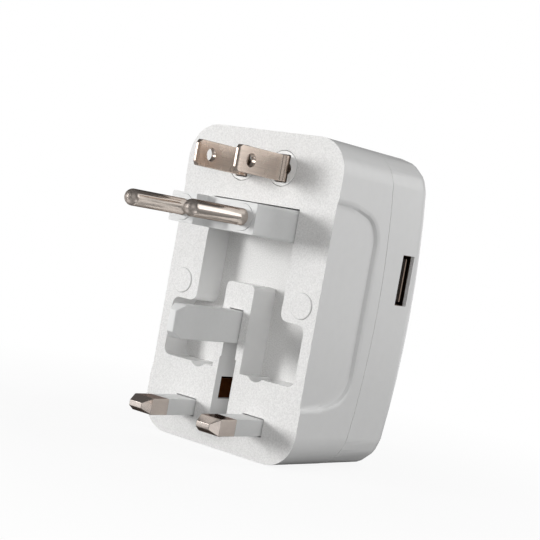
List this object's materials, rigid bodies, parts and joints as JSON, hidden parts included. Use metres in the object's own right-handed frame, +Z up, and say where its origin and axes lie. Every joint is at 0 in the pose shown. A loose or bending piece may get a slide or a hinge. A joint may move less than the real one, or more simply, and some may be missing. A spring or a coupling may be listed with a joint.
{
  "type": "universal travel adapter",
  "caption": "Hand-sized plug adapter with folding round pins, sliding flat pins and turning blades on one face, a universal socket behind and a charging port on the side.",
  "frame": {"origin": "middle of the part's box at the bottom end that it stands on", "axes": "+Z up along the case, +Y from the pin face to the socket face, +X towards the charging port"},
  "size_m": [0.0496, 0.0762, 0.079],
  "materials": {
    "shell": "fine spark texture on the pin face, satin on the sides",
    "plug_plastic": "smooth satin",
    "nickel": "nickel plate with a drawn grain",
    "steel": "zinc plate",
    "brass": "stamped strip",
    "copper": "stamped strip, tarnished",
    "dark_plastic": "moulded",
    "board": "solder mask",
    "ferrite": "sintered",
    "winding_tape": "polyester tape",
    "capacitor_sleeve": "shrink sleeve",
    "live_insulation": "wire insulation",
    "neutral_insulation": "wire insulation"
  },
  "bodies": {
    "case": {"pin_side_housing": "shell", "socket_side_housing": "shell", "screw_cap_left": "shell", "screw_cap_right": "shell", "case_screws": "steel", "live_busbar": "brass", "neutral_busbar": "brass", "live_contact_strip": "copper", "neutral_contact_strip": "copper", "usb_shell": "steel", "usb_tongue": "dark_plastic", "usb_contacts": "brass", "usb_board": "board", "transformer_core": "ferrite", "transformer_winding": "winding_tape", "input_capacitor": "capacitor_sleeve", "output_capacitor": "capacitor_sleeve", "rectifier": "dark_plastic", "live_lead": "live_insulation", "neutral_lead": "neutral_insulation"},
    "eu_plug": {"eu_block": "plug_plastic", "eu_pin_left": "nickel", "eu_pin_right": "nickel", "eu_collar_left": "plug_plastic", "eu_collar_right": "plug_plastic", "eu_pivot_left": "brass", "eu_pivot_right": "brass"},
    "earth_plug": {"earth_pin": "plug_plastic", "earth_pivot": "steel"},
    "uk_plug": {"uk_carriage": "plug_plastic", "uk_pin_left": "nickel", "uk_pin_right": "nickel", "uk_sleeve_left": "plug_plastic", "uk_sleeve_right": "plug_plastic", "uk_wiper_left": "brass", "uk_wiper_right": "brass", "uk_slider_knob": "plug_plastic"},
    "us_slider": {"us_carriage": "plug_plastic", "us_slider_knob": "plug_plastic"},
    "us_left": {"us_blade_left": "nickel"},
    "us_right": {"us_blade_right": "nickel"},
    "us_left_disc": {"us_disc_left": "shell"},
    "us_right_disc": {"us_disc_right": "shell"}
  },
  "joints": [
    {"name": "eu_fold", "type": "hinge", "parent": "case", "child": "eu_plug", "pos_m": [0, 0.0001, 0.0569], "axis": [1, 0, 0], "range_deg": [0, 90]},
    {"name": "earth_fold", "type": "hinge", "parent": "case", "child": "earth_plug", "pos_m": [0, 0.0001, 0.0304], "axis": [1, 0, 0], "range_deg": [0, 90]},
    {"name": "uk_slide", "type": "slide", "parent": "case", "child": "uk_plug", "axis": [0, 1, 0], "range_m": [0, 0.0177]},
    {"name": "us_slide", "type": "slide", "parent": "case", "child": "us_slider", "axis": [0, 1, 0], "range_m": [0, 0.0175]},
    {"name": "us_left_turn", "type": "hinge", "parent": "us_slider", "child": "us_left", "pos_m": [-0.00635, -0.0039, 0.0703], "axis": [0, 1, 0], "range_deg": [0, 30]},
    {"name": "us_right_turn", "type": "hinge", "parent": "us_slider", "child": "us_right", "pos_m": [0.00635, -0.0039, 0.0703], "axis": [0, 1, 0], "range_deg": [-30, 0]},
    {"name": "us_left_disc_turn", "type": "hinge", "parent": "case", "child": "us_left_disc", "pos_m": [-0.00635, -0.0039, 0.0703], "axis": [0, 1, 0], "range_deg": [0, 30]},
    {"name": "us_right_disc_turn", "type": "hinge", "parent": "case", "child": "us_right_disc", "pos_m": [0.00635, -0.0039, 0.0703], "axis": [0, 1, 0], "range_deg": [-30, 0]}
  ],
  "couplings": [
    {"joint": "us_left_disc_turn", "follows": "us_left_turn", "ratio": 1},
    {"joint": "us_right_disc_turn", "follows": "us_right_turn", "ratio": 1}
  ]
}
